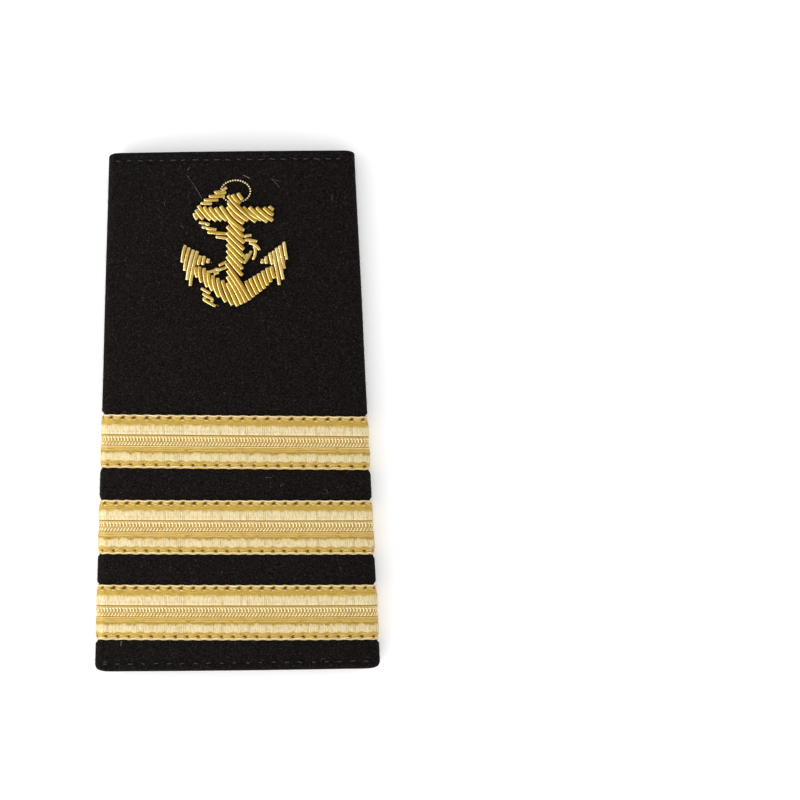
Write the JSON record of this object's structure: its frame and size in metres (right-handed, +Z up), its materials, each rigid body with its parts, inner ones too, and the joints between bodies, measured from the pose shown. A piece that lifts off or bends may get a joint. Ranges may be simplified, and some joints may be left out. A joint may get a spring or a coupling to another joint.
{
  "type": "epaulette",
  "caption": "Slip-on epaulette: a tapered, gently arched tube of black felted cloth with gold laces across its shoulder half and a gold bullion anchor wound with a rope near its neck end.",
  "frame": {"origin": "on the surface that the slide lies on, under the middle of its box", "axes": "+Y along the slide to its narrow neck end, +Z up through the arched face"},
  "size_m": [0.063, 0.113, 0.0098],
  "materials": {
    "face_cloth": "black felted wool, matte, with a fine short nap",
    "back_cloth": "black woven cloth, matte",
    "gold_lace": "woven gold lace, satin, with pale ribbed bands and a braided middle",
    "bullion": "coiled gilt bullion wire, bright",
    "bullion_cord": "twisted gilt wire, bright"
  },
  "bodies": {
    "root": {"face_panel": "face_cloth", "back_panel": "back_cloth", "lace_lower": "gold_lace", "lace_middle": "gold_lace", "lace_upper": "gold_lace", "anchor_head": "bullion", "anchor_stock": "bullion", "anchor_shank": "bullion", "anchor_arms": "bullion", "anchor_fluke_left": "bullion", "anchor_fluke_right": "bullion", "anchor_ring": "bullion_cord", "rope_upper": "bullion_cord", "rope_middle": "bullion_cord", "rope_loop": "bullion_cord", "rope_lower": "bullion_cord", "rope_tail": "bullion_cord"}
  },
  "joints": []
}
